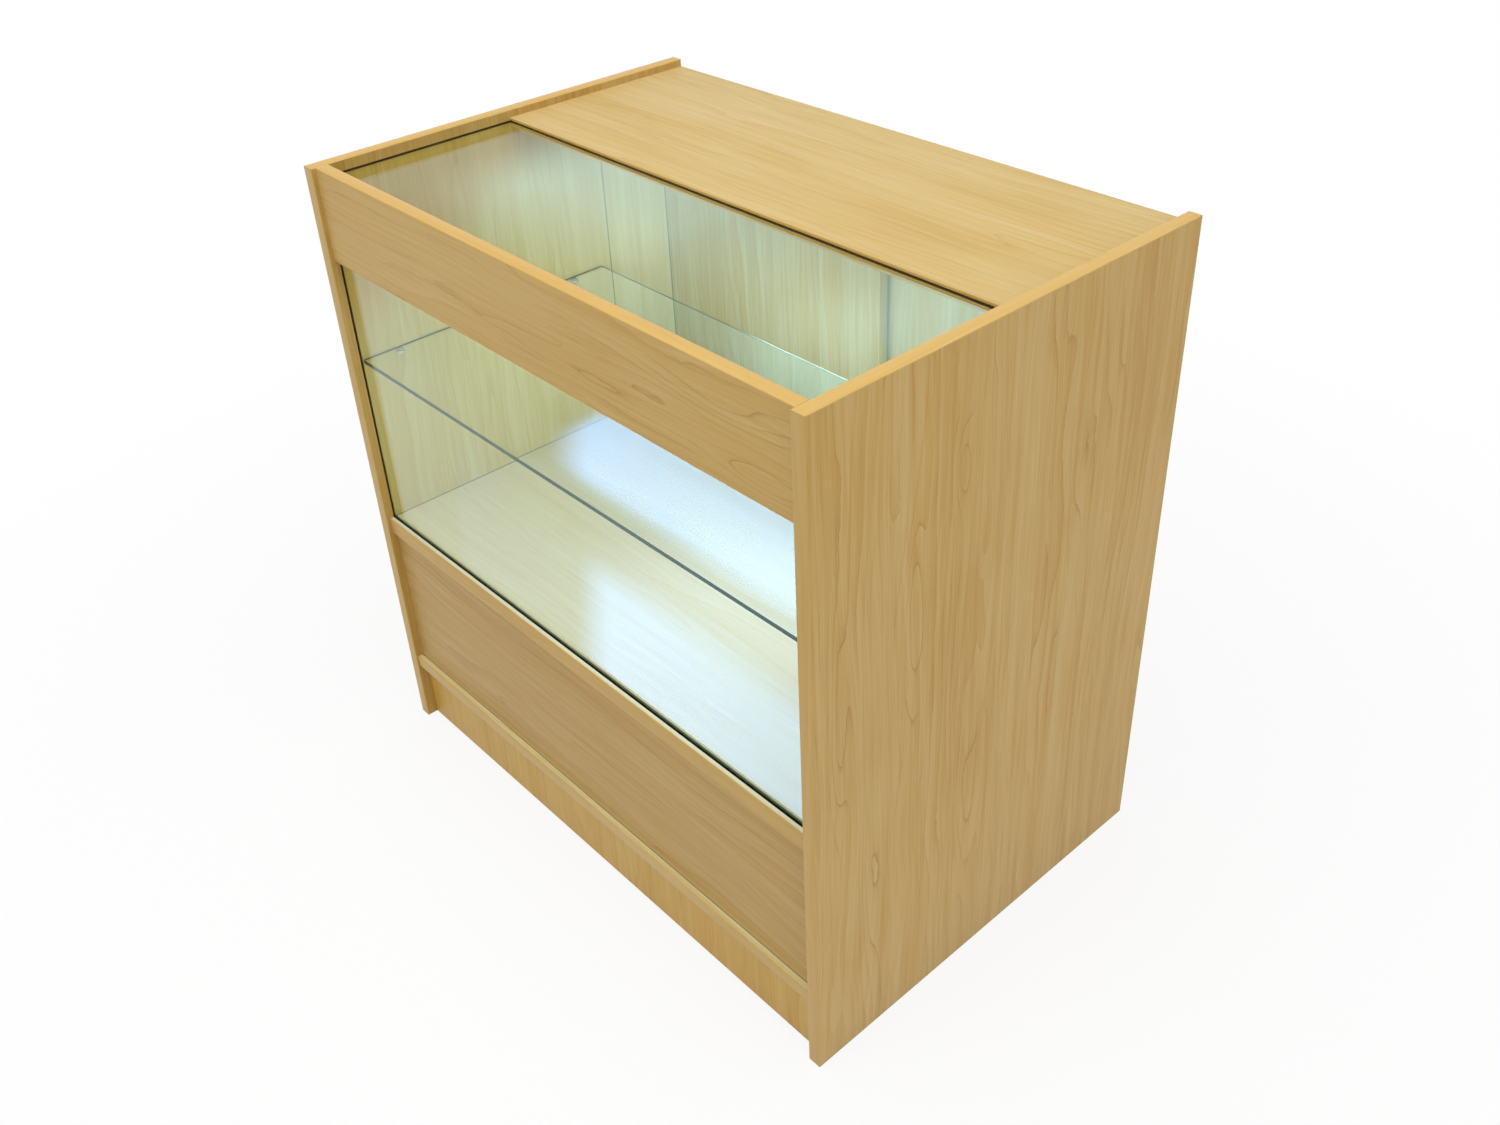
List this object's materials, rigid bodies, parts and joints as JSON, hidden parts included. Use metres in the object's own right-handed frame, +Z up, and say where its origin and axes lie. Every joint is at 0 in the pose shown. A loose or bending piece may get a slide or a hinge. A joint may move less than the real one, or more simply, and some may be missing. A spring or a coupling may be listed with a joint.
{
  "type": "display counter",
  "caption": "Shop display counter with a glass front, glass top and glass shelf above a closed front panel, sliding doors on the staff side and an open storage bay below.",
  "frame": {"origin": "centre of the underside, in the plane of the floor that the side panels and the plinths stand on", "axes": "+Z up, the glass front faces -Y, +X to the right of someone who looks at the front"},
  "size_m": [0.9, 0.6, 0.9],
  "materials": {
    "maple_upright": "satin melamine with a printed maple grain that runs up and down",
    "maple_level": "satin melamine with a printed maple grain that runs from side to side",
    "maple_edging": "satin maple edging with slightly rounded arrises",
    "float_glass": "clear float glass, greenish at its polished edges",
    "plated_steel": "nickel-plated steel, bright",
    "clear_pad": "soft clear plastic",
    "track_plastic": "extruded plastic in beige",
    "zinc_screw": "zinc-plated steel",
    "nylon": "white nylon",
    "zinc_casting": "zinc die casting, dull grey",
    "beech": "bare beech"
  },
  "bodies": {
    "carcass": {"side_panel_left": "maple_upright", "side_panel_right": "maple_upright", "side_panel_left_edging": "maple_edging", "side_panel_right_edging": "maple_edging", "front_fascia": "maple_level", "fascia_edging": "maple_edging", "rear_worktop": "maple_level", "worktop_edging": "maple_edging", "display_deck": "maple_level", "deck_edging": "maple_edging", "lower_front_panel": "maple_level", "base_board": "maple_level", "base_board_edging": "maple_edging", "front_plinth": "maple_upright", "rear_plinth": "maple_upright", "top_glass": "float_glass", "front_glass": "float_glass", "glass_shelf": "float_glass", "shelf_supports": "plated_steel", "shelf_support_pads": "clear_pad", "upper_door_track": "track_plastic", "lower_door_track": "track_plastic", "upper_track_screws": "zinc_screw", "lower_track_screws": "zinc_screw", "cam_bolts": "plated_steel", "cam_housings": "zinc_casting", "timber_dowels": "beech"},
    "left_door": {"sliding_door_left": "maple_upright", "left_door_edging": "maple_edging", "left_door_pull": "plated_steel", "left_door_glides": "nylon"},
    "right_door": {"sliding_door_right": "maple_upright", "right_door_edging": "maple_edging", "right_door_pull": "plated_steel", "right_door_glides": "nylon"}
  },
  "joints": [
    {"name": "left_door_slide", "type": "slide", "parent": "carcass", "child": "left_door", "axis": [1, 0, 0], "range_m": [0, 0.414]},
    {"name": "right_door_slide", "type": "slide", "parent": "carcass", "child": "right_door", "axis": [-1, 0, 0], "range_m": [0, 0.414]}
  ]
}
